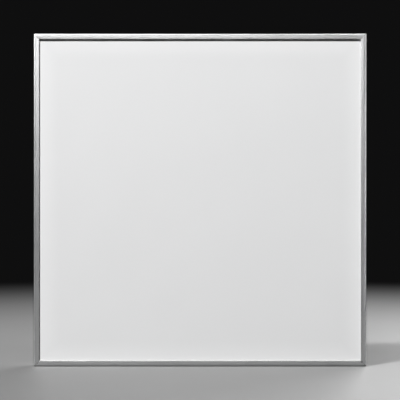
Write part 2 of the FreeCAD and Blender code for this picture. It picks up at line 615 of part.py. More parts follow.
# ================================================================ driver
def driver_case():
    """Folded base with two fixing ears and four standoffs, and a vented lid with a locating rim."""
    x0, x1 = DRIVER_X
    z0, z1 = DRIVER_Z
    w = DRIVER_WALL
    base = box(x0, x1, SLOT_REAR, LID_V, z0, z1)
    base = base.cut(box(x0 + w, x1 - w, SLOT_REAR + w, LID_V + OVER, z0 + w, z1 - w))
    ear_z = (z0 + z1) / 2
    for ear_x in (x0 - EAR, x1):
        base = base.fuse(box(ear_x, ear_x + EAR, SLOT_REAR, SLOT_REAR + w, ear_z - EAR_HALF, ear_z + EAR_HALF))
    base = drill(base, SCREW_HOLE_R, back_plate_holes()[:2], SLOT_REAR - OVER, w + 2 * OVER)
    entry_sill, standoff_r, standoff_x, standoff_z = 1.4, 2.5, 12.0, 8.0
    entry_v = DRIVER_BOARD_REAR + entry_sill
    base = base.cut(box(x1 - w - OVER, x1 + OVER, entry_v, LID_V + OVER, *MAINS_ENTRY_Z))
    base = base.cut(box(x0 - OVER, x0 + w + OVER, entry_v, LID_V + OVER, *OUTPUT_ENTRY_Z))
    for x in (x0 + standoff_x, x1 - standoff_x):
        for z in (z0 + standoff_z, z1 - standoff_z):
            base = base.fuse(rod(standoff_r, x, SLOT_REAR + w, z, BACK, STANDOFF))

    edge_r, rim_gap, rim, rim_deep = 1.0, 0.2, 1.2, 1.2
    lid = round_rear(box(x0, x1, LID_V, DRIVER_REAR, z0, z1), DRIVER_REAR, edge_r)
    outer, inner = w + rim_gap, w + rim_gap + rim
    ring = box(x0 + outer, x1 - outer, LID_V - rim_deep, LID_V, z0 + outer, z1 - outer)
    ring = ring.cut(box(x0 + inner, x1 - inner, LID_V - 2 * rim_deep, LID_V + OVER, z0 + inner, z1 - inner))
    ring = ring.cut(box(x1 - 2 * inner, x1, LID_V - 2 * rim_deep, LID_V + OVER, *MAINS_ENTRY_Z))
    ring = ring.cut(box(x0, x0 + 2 * inner, LID_V - 2 * rim_deep, LID_V + OVER, *OUTPUT_ENTRY_Z))
    slots, pitch, wide, margin = 8, 9.0, 3.0, 12.0
    first = (x0 + x1 - (slots - 1) * pitch - wide) / 2
    for i in range(slots):
        x = first + i * pitch
        lid = lid.cut(box(x, x + wide, LID_V - OVER, DRIVER_REAR + OVER, z0 + margin, z1 - margin))
    return base.removeSplitter(), lid.fuse(ring).removeSplitter()


def transformer(x, z):
    """Core with three limbs, and a winding round each window's limb pair."""
    v, wide, high, tall = DRIVER_BOARD_REAR, 26.0, 24.0, 7.6
    yoke, window, limb = 1.2, 6.0, 6.0
    gap, set_back, bulge = 0.2, 0.6, 2.0  # of a winding: round it, behind the core's face, and past the core
    core = box(x, x + wide, v, v + tall, z, z + high)
    windings = []
    for window_x in (x + (wide - limb) / 2 - window, x + (wide + limb) / 2):
        core = core.cut(box(window_x, window_x + window, v + yoke, v + tall + OVER, z, z + high))
        winding_x = (window_x + gap, window_x + window - gap)
        windings.append(box(*winding_x, v + yoke + gap, v + tall - set_back, z - bulge, z + high + bulge))
    return [core] + windings


def build_driver():
    base, lid = driver_case()
    save("driver_base", base)
    save("driver_lid", lid)
    x0, x1 = DRIVER_X
    z0, z1 = DRIVER_Z
    end_gap, side_gap = 4.0, 3.5
    board = box(x0 + end_gap, x1 - end_gap, DRIVER_BOARD_V, DRIVER_BOARD_REAR, z0 + side_gap, z1 - side_gap)
    save("driver_board", board)

    v = DRIVER_BOARD_REAR
    blocks = {name: on_board(part, v) for name, part in DRIVER_PARTS.items()}
    save("driver_transformer", *transformer(TRANSFORMER_X, TRANSFORMER_Z))
    electrolytics = []
    for x in ELECTROLYTIC_X:
        electrolytics.append(rod(ELECTROLYTIC_R, x, v + ELECTROLYTIC_R, ELECTROLYTIC_Z, UP, ELECTROLYTIC))
    save("driver_capacitors", *electrolytics, blocks["suppressor"])
    choke = rod(CHOKE_R, CHOKE_X, v, CHOKE_Z, BACK, CHOKE)
    save("driver_choke", choke.cut(rod(CHOKE_BORE_R, CHOKE_X, v - OVER, CHOKE_Z, BACK, CHOKE + 2 * OVER)))
    save("driver_fuse", rod(FUSE_R, FUSE_X, v + FUSE_R, FUSE_Z, UP, FUSE))
    save("driver_terminals", blocks["mains_block"], blocks["output_block"])

    # shank radius, head radius, head and length
    ear_screw, board_screw = (1.4, 2.9, 1.8, 2.6), (1.4, 2.6, 1.6, 4.8)
    ear_screws = [pan_screw(x, z, SLOT_REAR + DRIVER_WALL, *ear_screw) for x, z in back_plate_holes()[:2]]
    board_screws = [pan_screw(x, z, DIMMER_BOARD_REAR, *board_screw) for x, z in DIMMER_SCREWS]
    save("electronics_screws", *ear_screws, *board_screws)


# ================================================================ wiring in the bay
def build_wiring():
    """Mains wires on the right, low-voltage pair round the driver's left end, and feed to the LED strips."""
    v, bend = CONTROL_V, 11.0
    inlet_tab, switch_tab = PANEL_X1 - INLET_BODY[2] - TAB, PANEL_X1 - SWITCH_BODY[2] - TAB
    switch_low, switch_high = SWITCH_Z - TERMINAL_PITCH / 2, SWITCH_Z + TERMINAL_PITCH / 2
    mains_block, live_in_z = DRIVER_PARTS["mains_block"][1], 83.0
    turn_x, return_x = 254.0, 240.0  # where the live wires run up and down
    neutral_z, live_z = pin_heights()
    to_switch = [(inlet_tab, v, live_z), (turn_x, v, live_z)]
    to_switch += [(turn_x, v, switch_low), (switch_tab, v, switch_low)]
    to_driver = [(switch_tab, v, switch_high), (return_x, v, switch_high)]
    to_driver += [(return_x, v, live_in_z), (mains_block, v, live_in_z)]
    save("wire_live_to_switch", tube(to_switch, WIRE_R, bend))
    save("wire_live_to_driver", tube(to_driver, WIRE_R, bend))
    save("wire_neutral", tube([(inlet_tab, v, neutral_z), (mains_block, v, neutral_z)], WIRE_R))

    v, bend = LOW_VOLTAGE_V, 9.0
    output_block, supply_plug = DRIVER_PARTS["output_block"][0], DIMMER_PARTS["supply_plug"][0]
    negative, positive = ("negative", 70.0, 18.0, LOW_VOLTAGE_Z[0]), ("positive", 76.0, 26.0, LOW_VOLTAGE_Z[1])
    for name, z_out, turn_x, run_z in (negative, positive):
        points = [(output_block, v, z_out), (turn_x, v, z_out), (turn_x, v, run_z), (supply_plug, v, run_z)]
        save(f"wire_low_voltage_{name}", tube(points, WIRE_R, bend))

    strip_x, plug_z = HALF - BOARD_FACE_U - FEED_R, DIMMER_PARTS["feed_plug"][4]
    strip_v, bay_v, bend, half_pitch = 7.5, DIMMER_BOARD_REAR + 3.4, 3.2, 2.0
    feeds = []
    for z, turn_x in ((FEED_Z - half_pitch, 282.0), (FEED_Z + half_pitch, 278.0)):
        points = [(strip_x, strip_v, z), (strip_x, bay_v, z), (turn_x, bay_v, z), (turn_x, bay_v, plug_z)]
        feeds.append(tube(points, FEED_R, bend))
    save("wire_led_feed", *feeds)

    v0, v1 = LOW_VOLTAGE_V - CLIP_CHANNEL, LOW_VOLTAGE_V + CLIP_CHANNEL
    low, high = min(LOW_VOLTAGE_Z), max(LOW_VOLTAGE_Z)
    clips = []
    for x in CLIP_X:
        x0, x1 = x - CLIP_HALF, x + CLIP_HALF
        clip = box(x0, x1, SLOT_REAR, LOW_VOLTAGE_V + CLIP_COVER, low - CLIP_PAST, high + CLIP_PAST)
        clips.append(clip.cut(box(x0 - OVER, x1 + OVER, v0, v1, low - CLIP_CHANNEL, high + CLIP_CHANNEL)))
    save("wire_clips", *clips)


# ================================================================ back
def foot_places():
    return [(x, z) for x in (-FOOT_X, FOOT_X) for z in (FOOT_Z, SIZE - FOOT_Z)]


def cover_screw_places():
    """X and Z of the screws along all four rails."""
    places = []
    for along in COVER_SCREWS_ALONG:
        places += [(along, COVER_SCREW_U), (along, SIZE - COVER_SCREW_U)]
        places += [(COVER_SCREW_U - HALF, HALF + along), (HALF - COVER_SCREW_U, HALF + along)]
    return places


def build_cover():
    cover = sheet(WALL + COVER_GAP, COVER_V, COVER_REAR)
    cover = drill(cover, SCREW_HOLE_R, cover_screw_places() + foot_places(), COVER_V - OVER, COVER + 2 * OVER)
    for row_x, z in VENT_ROWS:
        for i in range(VENTS):
            x = row_x + (i - (VENTS - 1) / 2) * VENT_PITCH
            z0, z1 = z - VENT_HALF, z + VENT_HALF
            cover = cover.cut(box(x - VENT_R, x + VENT_R, COVER_V - OVER, COVER_REAR + OVER, z0, z1))
            cover = drill(cover, VENT_R, [(x, z0), (x, z1)], COVER_V - OVER, COVER + 2 * OVER)
    save("back_cover", cover)
    cover_screw = (1.45, 2.8, 1.8, 6.0)  # shank radius, head radius, head and length
    save("cover_screws", *[pan_screw(x, z, COVER_REAR, *cover_screw) for x, z in cover_screw_places()])


def hex_nut(x, z):
    corners = []
    for i in range(7):
        angle = math.radians(60 * i)
        corners.append(V(x + NUT_R * math.cos(angle), y_of(COVER_V), z + NUT_R * math.sin(angle)))
    nut = Part.Face(Part.makePolygon(corners)).extrude(V(0, -NUT, 0))
    return nut.cut(rod(PLATE_HOLE_R, x, COVER_V + OVER, z, FRONT, NUT + 2 * OVER))


def build_feet():
    feet = []
    for x, z in foot_places():
        foot = cone(FOOT_R, FOOT_TIP_R, x, COVER_REAR, z, BACK, FOOT_HEIGHT)
        foot = round_rear(foot, COVER_REAR + FOOT_HEIGHT, FOOT_EDGE_R)
        foot = foot.cut(rod(FOOT_BORE_R, x, COVER_REAR + FOOT_FLOOR, z, BACK, FOOT_HEIGHT))
        feet.append(foot.cut(rod(SCREW_HOLE_R, x, COVER_REAR - OVER, z, BACK, FOOT_HEIGHT)))
    save("rubber_feet", *feet)
    seat_v = COVER_REAR + FOOT_FLOOR
    foot_screw = (1.45, 2.9, 1.8, 6.5)
    save("foot_screws", *[pan_screw(x, z, seat_v, *foot_screw) for x, z in foot_places()])
    save("foot_nuts", *[hex_nut(x, z) for x, z in foot_places()])


os.makedirs("parts", exist_ok=True)
build_frame()
build_sandwich()
build_strips()
build_control_panel()
build_inlet()
build_switch()
build_dimmer()
build_driver()
build_wiring()
build_cover()
build_feet()
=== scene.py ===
"""Looks of the square LED light table: studio, materials, and finer rails, feet and dimmer wheel.

Metres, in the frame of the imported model: +X right, +Y towards the back, +Z up. Two more measures
are used: u runs inwards from a rail's outer side face, and v runs backwards from the front plane.
"""

import json
import math

import bmesh
import bpy
from mathutils import Matrix, Vector


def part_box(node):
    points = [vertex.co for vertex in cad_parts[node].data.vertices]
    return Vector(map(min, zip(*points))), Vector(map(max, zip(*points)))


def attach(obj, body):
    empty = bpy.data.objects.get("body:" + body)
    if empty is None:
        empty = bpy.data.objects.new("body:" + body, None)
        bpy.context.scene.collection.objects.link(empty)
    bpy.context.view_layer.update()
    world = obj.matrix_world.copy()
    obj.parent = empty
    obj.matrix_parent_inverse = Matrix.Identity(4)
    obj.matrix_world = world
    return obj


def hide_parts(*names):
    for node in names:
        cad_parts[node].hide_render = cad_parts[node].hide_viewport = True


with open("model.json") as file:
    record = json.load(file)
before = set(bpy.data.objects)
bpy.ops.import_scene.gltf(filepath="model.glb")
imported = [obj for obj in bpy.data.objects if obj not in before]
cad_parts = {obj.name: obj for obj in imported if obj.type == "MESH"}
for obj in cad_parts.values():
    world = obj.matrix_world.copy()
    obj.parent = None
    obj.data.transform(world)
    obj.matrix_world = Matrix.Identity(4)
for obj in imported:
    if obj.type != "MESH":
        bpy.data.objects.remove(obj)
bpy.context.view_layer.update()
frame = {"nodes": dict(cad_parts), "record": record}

MM = 0.001
OVER = 1.0 * MM  # how far a cutting shape reaches past the face it cuts
RIGHTWARDS, BACKWARDS, UPWARDS = Vector((1, 0, 0)), Vector((0, 1, 0)), Vector((0, 0, 1))
NODES = frame["nodes"]

# ---------------------------------------------------------------- places that the frame gives
rail_low, rail_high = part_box("frame_rail_bottom")
panel_low, panel_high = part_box("control_panel")
switch_low, switch_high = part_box("switch_housing")
wheel_low, wheel_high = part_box("dimmer_wheel")
feet_low, feet_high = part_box("rubber_feet")

FRONT_Y = rail_low.y
RAIL_DEPTH = rail_high.y - FRONT_Y
FLANGE_U = rail_high.z
HALF = -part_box("frame_rail_left")[0].x
MIDDLE = Vector((0, FRONT_Y, HALF))
CONTROL_Y = (panel_low.y + panel_high.y) / 2
SWITCH_Z = (switch_low.z + switch_high.z) / 2
WHEEL = (wheel_low + wheel_high) / 2

# ---------------------------------------------------------------- rail section
WALL = 1.8 * MM
LIP = 10.0 * MM
LIP_REAR = 2.6 * MM
EDGE_R = 3.0 * MM
CROWN_R = 75.0 * MM
LIP_EDGE_R = 0.3 * MM
LINE_U, LINE_WIDTH, LINE_DEPTH = 3.3 * MM, 0.3 * MM, 0.18 * MM
LINE_END = LINE_U + LINE_WIDTH
SLOT_REAR = 14.4 * MM
CHAMBER_U, CHAMBER_WALL = 8.0 * MM, 1.2 * MM
CHAMBER_V0, CHAMBER_V1 = 15.8 * MM, 33.2 * MM
FLANGE_REAR = 34.8 * MM
MITRE_GAP = 0.1 * MM
ARRIS = 0.12 * MM  # the tiny chamfer left on a sawn or extruded edge

# ---------------------------------------------------------------- holes in the rails
GRUB_AT, GRUB_HOLE_R = 32.0 * MM, 2.05 * MM
COVER_SCREW_U, COVER_SCREW_HOLE_R = 12.6 * MM, 1.5 * MM
COVER_SCREWS_ALONG = (-262.0 * MM, -90.0 * MM, 90.0 * MM, 262.0 * MM)
PANEL_PAST, PANEL_SCREW_PAST = 7.0 * MM, 4.0 * MM  # panel and its screws, past the window's ends
WINDOW_Z0, WINDOW_Z1 = panel_low.z + PANEL_PAST, panel_high.z - PANEL_PAST
WINDOW_HALF, WINDOW_R = 7.7 * MM, 2.0 * MM
COUNTERSINK_R, PANEL_SCREW_HOLE_R, COUNTERSINK = 2.4 * MM, 1.35 * MM, 1.2 * MM
FEED_Z, FEED_HALF, FEED_U = 199.2 * MM, 6.0 * MM, (2.2 * MM, 5.4 * MM)  # slot for the feed wires

# ---------------------------------------------------------------- feet and dimmer wheel
FOOT_R, FOOT_TIP_R, FOOT_EDGE_R = 10.0 * MM, 9.0 * MM, 0.8 * MM
FOOT_BORE_R, FOOT_FLOOR, FOOT_HOLE_R = 3.4 * MM, 1.4 * MM, 1.75 * MM
FOOT_GROOVES, FOOT_GROOVE_HALF, FOOT_GROOVE = (4.9 * MM, 6.2 * MM, 7.5 * MM), 0.3 * MM, 0.35 * MM
WHEEL_R, WHEEL_THICK, WHEEL_CHAMFER = 10.5 * MM, 4.0 * MM, 0.35 * MM
KNURLS, KNURL_R = 36, 0.4 * MM
DISH_R, DISH = 7.5 * MM, 0.8 * MM
SHAFT_R, WHEEL_HOLE_R, WHEEL_HOLE = 1.5 * MM, 1.0 * MM, 2.1 * MM


# ================================================================ studio
BACKGROUND = (0.0048, 0.0048, 0.0049, 1)


def add_camera():
    """Square to the front. share is the panel's width as a share of the picture's."""
    distance, share, sensor = 2.4, 0.8325, 0.036
    data = bpy.data.cameras.new("camera")
    data.sensor_width = sensor / MM
    data.lens = sensor * share * distance / (2 * HALF) / MM
    camera = bpy.data.objects.new("camera", data)
    camera.location = MIDDLE - Vector((0, distance, 0))
    camera.rotation_euler = (math.pi / 2, 0, 0)
    bpy.context.scene.collection.objects.link(camera)
    bpy.context.scene.camera = camera


def add_softbox(name, direction, distance, size, watts, only_reflected=False):
    """Rectangular lamp that faces the panel's middle. only_reflected: seen in gloss alone."""
    data = bpy.data.lights.new(name, "AREA")
    data.shape = "RECTANGLE"
    data.size, data.size_y = size
    data.energy = watts
    lamp = bpy.data.objects.new(name, data)
    lamp.visible_diffuse = not only_reflected
    towards = Vector(direction).normalized()
    lamp.location = MIDDLE + towards * distance
    lamp.rotation_euler = towards.to_track_quat("Z", "Y").to_euler()
    bpy.context.scene.collection.objects.link(lamp)


def add_lights():
    add_softbox("key", (-0.37, -0.45, 0.81), distance=9.0, size=(1.05, 1.05), watts=1500)
    reflected = {"distance": 3.0, "only_reflected": True}
    add_softbox("front_strip", (-0.101, -0.961, 0.259), size=(1.6, 0.3), watts=8.4, **reflected)
    add_softbox("left_card", (-0.785, -0.453, 0.423), size=(0.5, 0.8), watts=54, **reflected)
    add_softbox("right_card", (0.616, -0.788, 0.0), size=(0.4, 0.6), watts=9.0, **reflected)
    add_softbox("top_card", (0.170, -0.450, 0.877), size=(0.8, 0.4), watts=8.0, **reflected)
    add_softbox("back_fill", (0.5, 0.8, 0.55), distance=3.0, size=(1.6, 1.6), watts=80)
    add_softbox("right_rim", (0.95, 0.1, 0.3), distance=3.0, size=(1.4, 1.6), watts=18)


def add_world():
    world = bpy.data.worlds.new("studio")
    world.use_nodes = True
    world.node_tree.nodes["Background"].inputs["Color"].default_value = BACKGROUND
    bpy.context.scene.world = world


def floor_disc(name, grey):
    """Plain round floor that fades into the background far from the object. It lights nothing."""
    radius, fade_from, fade_to = 30.0, 0.6, 2.6
    bm = bmesh.new()
    bmesh.ops.create_circle(bm, cap_ends=True, radius=radius, segments=96)
    surface = Surface(name, (grey, grey, grey), roughness=0.55)
    surface.mottle(0.3, 0.04)
    fade = surface.ramp(surface.length(*surface.axes(surface.position())), fade_from, fade_to)
    far = surface.node("ShaderNodeEmission")
    far.inputs["Color"].default_value = BACKGROUND
    mix = surface.node("ShaderNodeMixShader")
    surface.feed(mix.inputs[0], fade)
    surface.feed(mix.inputs[1], surface.shader.outputs[0])
    surface.feed(mix.inputs[2], far.outputs[0])
    surface.feed(surface.tree.nodes["Material Output"].inputs["Surface"], mix.outputs[0])
    disc = mesh_object(name, bm, surface.material)
    disc.visible_diffuse = False
    disc.visible_shadow = False
    return disc


def add_floor():
    """The pale floor, and a darker one that only reflections show, so the rails stay grey below."""
    floor_disc("floor", 0.165).visible_glossy = False
    reflected = floor_disc("reflected_floor", 0.02)
    reflected.location.z = -0.5 * MM
    reflected.visible_camera = False


# ================================================================ materials
# Sockets of the Mix node, which has one set of them for each kind of data.
MIX_FACTOR, FLOAT_A, FLOAT_B, FLOAT_RESULT = 0, 2, 3, 0
COLOUR_A, COLOUR_B, COLOUR_RESULT = 6, 7, 2
DUST = (0.30, 0.29, 0.27)
PRINT_WHITE = (0.75, 0.75, 0.74)


class Surface:
    """A Principled material, with short calls for its procedural detail. Lengths are in metres."""

    def __init__(self, name, colour, roughness, **constants):
        """constants are the shader's other inputs that are the same all over, by name."""
        self.material = bpy.data.materials.new(name)
        self.material.use_nodes = True
        self.tree = self.material.node_tree
        self.shader = self.tree.nodes["Principled BSDF"]
        self.shader.inputs["Base Color"].default_value = (*colour, 1)
        self.shader.inputs["Roughness"].default_value = roughness
        for socket, value in constants.items():
            self.shader.inputs[socket].default_value = value

    def node(self, kind, **settings):
        made = self.tree.nodes.new(kind)
        for key, value in settings.items():
            setattr(made, key, value)
        return made

    def feed(self, socket, value):
        """Gives an input another node's output, or a constant."""
        if isinstance(value, bpy.types.NodeSocket):
            self.tree.links.new(value, socket)
        else:
            socket.default_value = value

    def present(self, name):
        """What feeds one of the shader's inputs now."""
        socket = self.shader.inputs[name]
        return socket.links[0].from_socket if socket.is_linked else socket.default_value

    # ------------------------------------------------------------ places
    def position(self):
        return self.node("ShaderNodeTexCoord").outputs["Object"]

    def axes(self, vector):
        separate = self.node("ShaderNodeSeparateXYZ")
        self.feed(separate.inputs["Vector"], vector)
        return separate.outputs["X"], separate.outputs["Y"], separate.outputs["Z"]

    def math(self, operation, first, second=0.0):
        made = self.node("ShaderNodeMath", operation=operation)
        self.feed(made.inputs[0], first)
        self.feed(made.inputs[1], second)
        return made.outputs["Value"]

    def frame_place(self):
        """Measures from the nearest rail: beside is 1 at an upright rail and 0 at a lying one."""
        x, y, z = self.axes(self.position())
        height = self.math("SUBTRACT", z, HALF)
        across, upright = self.math("ABSOLUTE", x), self.math("ABSOLUTE", height)
        beside = self.math("GREATER_THAN", across, upright)
        return {
            "beside": beside,
            "along": self.either(beside, x, height),
            "v": self.math("SUBTRACT", y, FRONT_Y),
            "u": self.math("SUBTRACT", HALF, self.math("MAXIMUM", across, upright)),
            "mitre": self.math("ABSOLUTE", self.math("SUBTRACT", across, upright)),
        }

    def length(self, *parts):
        """Length of the vector that has these parts."""
        node = self.node("ShaderNodeVectorMath", operation="LENGTH")
        self.feed(node.inputs[0], self.vector(*parts))
        return node.outputs["Value"]

    def vector(self, *parts):
        combine = self.node("ShaderNodeCombineXYZ")
        for socket, part in zip(combine.inputs, parts):
            self.feed(socket, part)
        return combine.outputs["Vector"]

    # ------------------------------------------------------------ patterns, each from 0 to 1
    def either(self, fac, low, high):
        mix = self.node("ShaderNodeMix")
        for index, value in ((MIX_FACTOR, fac), (FLOAT_A, low), (FLOAT_B, high)):
            self.feed(mix.inputs[index], value)
        return mix.outputs[FLOAT_RESULT]

    def ramp(self, value, start, end, low=0.0, high=1.0):
        """Runs smoothly from low at start to high at end."""
        remap = self.node("ShaderNodeMapRange", interpolation_type="SMOOTHSTEP")
        self.feed(remap.inputs["Value"], value)
        limits = {"From Min": start, "From Max": end, "To Min": low, "To Max": high}
        for socket, number in limits.items():
            remap.inputs[socket].default_value = number
        return remap.outputs["Result"]

    def scaled(self, place, stretch):
        mapping = self.node("ShaderNodeMapping")
        self.feed(mapping.inputs["Vector"], self.position() if place is None else place)
        mapping.inputs["Scale"].default_value = stretch
        return mapping.outputs["Vector"]

    def noise(self, size, detail=3.0, stretch=(1, 1, 1), place=None, low=0.3, high=0.7):
        """Cloudy noise with features about so large. stretch makes them finer along X, Y or Z.

        The texture's values crowd round 0.5, so from low to high they are spread to 0 to 1.
        """
        texture = self.node("ShaderNodeTexNoise")
        texture.inputs["Scale"].default_value = 1 / size
        texture.inputs["Detail"].default_value = detail
        self.feed(texture.inputs["Vector"], self.scaled(place, stretch))
        return self.ramp(texture.outputs["Fac"], low, high)

    def cells(self, size, feature="F1", randomness=1.0, stretch=(1, 1, 1)):
        """Voronoi cells, as the distance from their middles or edges in cell sizes."""
        texture = self.node("ShaderNodeTexVoronoi", feature=feature)
        texture.inputs["Scale"].default_value = 1 / size
        texture.inputs["Randomness"].default_value = randomness
        self.feed(texture.inputs["Vector"], self.scaled(None, stretch))
        return texture

    def upwards(self):
        """1 on faces that look up, 0 on faces that are upright or look down."""
        normal = self.node("ShaderNodeTexCoord").outputs["Normal"]
        return self.ramp(self.axes(normal)[2], 0.2, 0.9)

    # ------------------------------------------------------------ effects
    def tint(self, fac, colour, blend_type="MIX"):
        """Moves the base colour to another where fac is high."""
        mix = self.node("ShaderNodeMix", data_type="RGBA", blend_type=blend_type)
        self.feed(mix.inputs[MIX_FACTOR], fac)
        self.feed(mix.inputs[COLOUR_A], self.present("Base Color"))
        mix.inputs[COLOUR_B].default_value = (*colour, 1)
        self.feed(self.shader.inputs["Base Color"], mix.outputs[COLOUR_RESULT])

    def shade(self, fac, amount):
        """Darkens the base colour by a share where fac is high."""
        self.tint(fac, [1 - amount] * 3, blend_type="MULTIPLY")

    def mottle(self, size, amount, **pattern):
        self.shade(self.noise(size, **pattern), amount)

    def change(self, name, fac, value):
        """Moves one of the shader's numbers to a value where fac is high."""
        self.feed(self.shader.inputs[name], self.either(fac, self.present(name), value))

    def smudge(self, size, roughness, **pattern):
        """Uneven gloss, as from handling."""
        self.change("Roughness", self.noise(size, **pattern), roughness)

    def relief(self, fac, height):
        """Bump of a height in metres. A later call adds to the earlier ones."""
        bump = self.node("ShaderNodeBump")
        bump.inputs["Distance"].default_value = height
        self.feed(bump.inputs["Height"], fac)
        if self.shader.inputs["Normal"].is_linked:
            self.feed(bump.inputs["Normal"], self.present("Normal"))
        self.feed(self.shader.inputs["Normal"], bump.outputs["Normal"])

    def grain(self, size, height, **pattern):
        self.relief(self.noise(size, **pattern), height)

    def hairlines(self, turn, amount, roughness):
        """Fine scratches, in loose groups, on a face along X and Z, sloping by turn degrees."""
        turned = self.node("ShaderNodeVectorRotate", rotation_type="Y_AXIS")
        self.feed(turned.inputs["Vector"], self.position())
        turned.inputs["Angle"].default_value = math.radians(turn)
        place = turned.outputs["Vector"]
        lines = self.noise(1.0, detail=1.0, stretch=(12, 12, 700), place=place, low=0.68, high=0.74)
        groups = self.noise(0.11, detail=2.0, place=place, low=0.54, high=0.66)
        lines = self.math("MULTIPLY", lines, groups)
        self.shade(lines, amount)
        self.change("Roughness", lines, roughness)

    def settle_dust(self, amount, colour=DUST):
        """Thin dust, patchy everywhere and thicker on what looks up."""
        patches = self.noise(0.02, detail=5.0)
        everywhere = self.math("MULTIPLY", patches, amount * 0.35)
        above = self.math("MULTIPLY", self.upwards(), amount)
        self.tint(self.math("MAXIMUM", everywhere, above), colour)


def near(surface, value, middle, half, edge):
    """1 where a value is within half of a middle, fading out over edge."""
    away = surface.math("ABSOLUTE", surface.math("SUBTRACT", value, middle))
    return surface.ramp(away, half + edge, half)


# ---------------------------------------------------------------- metals
def anodised_aluminium(name):
    """Satin silver extrusion: die lines along each rail, bare metal at the worn corners, dark dirt
    in the mitre joints, and painted shade on the lip's inner wall and in the line on its face.
    """
    surface = Surface(name, (0.80, 0.805, 0.81), 0.31, Metallic=1.0)
    place = surface.frame_place()
    section = surface.vector(place["along"], place["v"], place["u"])
    die_lines = surface.noise(1.0, detail=2.0, stretch=(4, 2600, 2600), place=section)
    surface.shade(die_lines, 0.05)
    surface.change("Roughness", die_lines, 0.34)
    surface.mottle(0.11, 0.02)
    surface.smudge(0.05, 0.345, detail=5.0)
    at_mitre = near(surface, place["mitre"], 1.1 * MM, 0.2 * MM, 0.6 * MM)
    at_lip = near(surface, place["u"], LIP, 0.15 * MM, 0.3 * MM)
    patches = surface.noise(5 * MM, detail=4.0)
    worn = surface.math("MULTIPLY", surface.math("MAXIMUM", at_mitre, at_lip), patches)
    surface.tint(worn, (0.93, 0.93, 0.93))
    surface.change("Roughness", worn, 0.24)
    # Painted shade: the lip's inner wall darkens towards the diffuser, where the lip's recess lies
    # in shade. The mitre joints get dark dirt.
    on_lip_edge = near(surface, place["u"], LIP, 0.05 * MM, 0.05 * MM)
    lip_shade_and_joint_dirt = surface.math("MULTIPLY", on_lip_edge, surface.ramp(place["v"], 0.5 * MM, 1.6 * MM))
    in_joint = surface.ramp(place["mitre"], 0.65 * MM, 0.25 * MM, high=0.75)
    lip_shade_and_joint_dirt = surface.math("MAXIMUM", lip_shade_and_joint_dirt, in_joint)
    surface.tint(lip_shade_and_joint_dirt, (0.10, 0.095, 0.09))
    surface.change("Roughness", lip_shade_and_joint_dirt, 0.75)
    # Painted shade: the line on the lip's face is darkened, as if its groove were shaded.
    in_line = near(surface, place["u"], LINE_U + LINE_WIDTH / 2, LINE_WIDTH / 2, 0.05 * MM)
    on_face = surface.ramp(place["v"], 1.0 * MM, 0.5 * MM)
    surface.shade(surface.math("MULTIPLY", in_line, on_face), 0.25)
    surface.relief(die_lines, 0.003 * MM)
    surface.grain(0.35 * MM, 0.002 * MM)
    return surface


def die_cast_zinc(name):
    surface = Surface(name, (0.60, 0.61, 0.62), 0.46, Metallic=1.0)
    surface.mottle(6 * MM, 0.18, detail=5.0)
    surface.smudge(9 * MM, 0.60)
    surface.grain(0.5 * MM, 0.03 * MM)
    return surface


def mill_aluminium(name):
    """Rolled sheet, with the mill's fine lines along Z."""
    surface = Surface(name, (0.77, 0.78, 0.79), 0.36, Metallic=1.0)
    rolled = surface.noise(1.0, stretch=(700, 700, 5))
    surface.shade(rolled, 0.08)
    surface.change("Roughness", rolled, 0.46)
    surface.mottle(0.06, 0.06, detail=5.0)
    surface.relief(rolled, 0.004 * MM)
    surface.hairlines(8, 0.15, 0.25)
    return surface


def galvanised_steel(name):
    """Zinc spangle: crystals a few millimetres across, each with its own gloss."""
    surface = Surface(name, (0.63, 0.65, 0.67), 0.30, Metallic=1.0)
    crystals = surface.cells(7 * MM).outputs["Color"]
    gloss = surface.axes(crystals)[0]
    surface.shade(gloss, 0.22)
    surface.change("Roughness", gloss, 0.52)
    surface.mottle(0.03, 0.08, detail=5.0)
    surface.relief(surface.cells(7 * MM, "DISTANCE_TO_EDGE").outputs["Distance"], 0.01 * MM)
    return surface


def zinc_plated_steel(name):
    """Bright zinc with a faint blue and straw passivation."""
    surface = Surface(name, (0.72, 0.74, 0.77), 0.27, Metallic=1.0)
    surface.tint(surface.noise(2.5 * MM), (0.78, 0.76, 0.68))
    surface.mottle(1.2 * MM, 0.12, detail=4.0)
    surface.smudge(1.5 * MM, 0.40, detail=4.0)
    surface.grain(0.25 * MM, 0.004 * MM)
    return surface


def nickel_plated_brass(name):
    """Contacts: warm nickel, brushed lengthwise by use."""
    surface = Surface(name, (0.74, 0.70, 0.62), 0.22, Metallic=1.0)
    brushed = surface.noise(1.0, stretch=(120, 3000, 3000))
    surface.tint(brushed, (0.70, 0.60, 0.42))
    surface.change("Roughness", brushed, 0.34)
    surface.mottle(1.5 * MM, 0.10)
    surface.relief(brushed, 0.002 * MM)
    return surface


def component_aluminium(name):
    """A can turned from aluminium, with rings left by the tool."""
    surface = Surface(name, (0.75, 0.76, 0.77), 0.30, Metallic=1.0)
    rings = surface.noise(1.0, stretch=(60, 5000, 60))
    surface.shade(rings, 0.10)
    surface.change("Roughness", rings, 0.42)
    surface.mottle(3 * MM, 0.08)
    surface.relief(rings, 0.003 * MM)
    return surface


def powder_coated_steel(name):
    """Light grey coat with orange peel, scuffed and dusty from lying on its back."""
    surface = Surface(name, (0.56, 0.57, 0.575), 0.46)
    surface.mottle(0.14, 0.05, detail=4.0)
    surface.mottle(0.9 * MM, 0.06, detail=2.0)
    surface.smudge(0.07, 0.60, detail=5.0)
    surface.hairlines(12, 0.16, 0.34)
    surface.hairlines(-61, 0.12, 0.34)
    surface.settle_dust(0.30)
    surface.grain(1.5 * MM, 0.025 * MM, detail=2.0)
    surface.grain(0.3 * MM, 0.006 * MM)
    return surface


